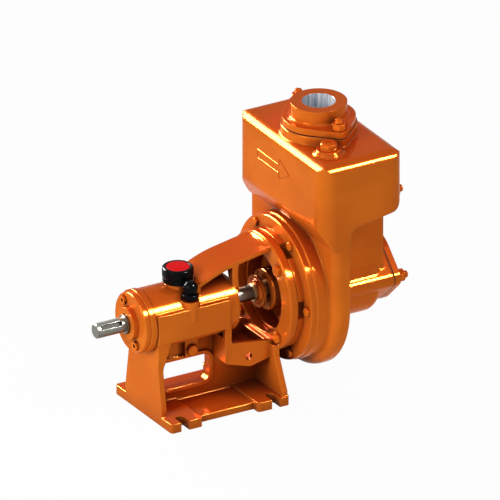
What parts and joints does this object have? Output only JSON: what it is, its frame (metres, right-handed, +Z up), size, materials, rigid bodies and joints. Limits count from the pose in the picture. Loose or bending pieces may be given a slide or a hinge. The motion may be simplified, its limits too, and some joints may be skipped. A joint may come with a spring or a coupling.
{
  "type": "self-priming centrifugal pump",
  "caption": "Self-priming centrifugal pump with a bare drive shaft, cast bearing bracket on a foot, separating tank on top, upward discharge flange and rear suction flange.",
  "frame": {"origin": "on the floor plane at the middle of the foot, straight under the shaft's axis", "axes": "+X along the shaft from its drive end towards the pump, +Y to the side away from the oil drain, +Z up through the discharge port's direction"},
  "size_m": [0.5183, 0.262, 0.457],
  "materials": {
    "orange_casting": "gloss orange paint over cast iron",
    "orange_fasteners": "gloss orange paint over steel fasteners",
    "ground_steel": "ground steel",
    "bearing_steel": "polished bearing steel",
    "wheel_iron": "bare cast iron",
    "bronze": "machined bronze",
    "seal_rubber": "black nitrile rubber",
    "gasket": "dark gasket sheet",
    "seal_carbon": "carbon and ceramic seal faces",
    "black_plastic": "glossy black plastic",
    "red_plastic": "glossy red plastic"
  },
  "bodies": {
    "pump_frame": {"bearing_bracket": "orange_casting", "breather_elbow": "black_plastic", "casing_cover": "orange_casting", "cover_bolts": "orange_fasteners", "cover_gasket": "orange_casting", "discharge_flange": "orange_casting", "discharge_gasket": "gasket", "discharge_nuts": "orange_fasteners", "discharge_studs": "orange_fasteners", "flap_pin": "ground_steel", "inboard_bearing_cover": "orange_casting", "inboard_bearing_outer_ring": "bearing_steel", "inboard_cover_screws": "orange_fasteners", "inboard_oil_seal": "seal_rubber", "inspection_cover": "orange_casting", "inspection_gasket": "gasket", "inspection_nuts": "orange_fasteners", "inspection_studs": "orange_fasteners", "lantern_bolts": "orange_fasteners", "oil_cup": "black_plastic", "oil_drain_plug": "orange_fasteners", "outboard_bearing_cover": "orange_casting", "outboard_bearing_outer_ring": "bearing_steel", "outboard_cover_screws": "orange_fasteners", "outboard_oil_seal": "seal_rubber", "pump_casing": "orange_casting", "seal_plate": "orange_casting", "seal_plate_screws": "orange_fasteners", "seal_still_ring": "seal_carbon", "suction_flange": "orange_casting", "suction_gasket": "gasket", "suction_nuts": "orange_fasteners", "suction_studs": "orange_fasteners", "wear_ring": "bronze"},
    "rotor": {"drive_shaft": "ground_steel", "impeller_key": "ground_steel", "outboard_bearing_inner_ring": "bearing_steel", "inboard_bearing_inner_ring": "bearing_steel", "seal_turning_ring": "seal_carbon", "seal_bellows": "seal_rubber", "shaft_sleeve": "bronze", "deflector_ring": "orange_casting", "impeller": "wheel_iron", "impeller_nut": "bronze"},
    "bearing_balls": {"outboard_bearing_balls": "bearing_steel", "inboard_bearing_balls": "bearing_steel"},
    "flap": {"flap_plate": "wheel_iron", "flap_rubber": "seal_rubber"},
    "plug": {"priming_plug": "orange_fasteners"},
    "filler_cap": {"oil_cup_cap": "black_plastic", "cap_disc": "red_plastic"}
  },
  "joints": [
    {"name": "rotor_spin", "type": "hinge", "parent": "pump_frame", "child": "rotor", "pos_m": [0, 0, 0.16], "axis": [1, 0, 0], "continuous": true},
    {"name": "balls_spin", "type": "hinge", "parent": "pump_frame", "child": "bearing_balls", "pos_m": [0, 0, 0.16], "axis": [1, 0, 0], "continuous": true},
    {"name": "flap_swing", "type": "hinge", "parent": "pump_frame", "child": "flap", "pos_m": [0.268, 0, 0.347], "axis": [0, 1, 0], "range_deg": [0, 60]},
    {"name": "priming_plug_lift", "type": "slide", "parent": "pump_frame", "child": "plug", "axis": [0, 0, 1], "range_m": [0, 0.03]},
    {"name": "oil_cap_lift", "type": "slide", "parent": "pump_frame", "child": "filler_cap", "axis": [0, 0, 1], "range_m": [0, 0.025]}
  ],
  "couplings": [
    {"joint": "balls_spin", "follows": "rotor_spin", "ratio": 0.398}
  ]
}
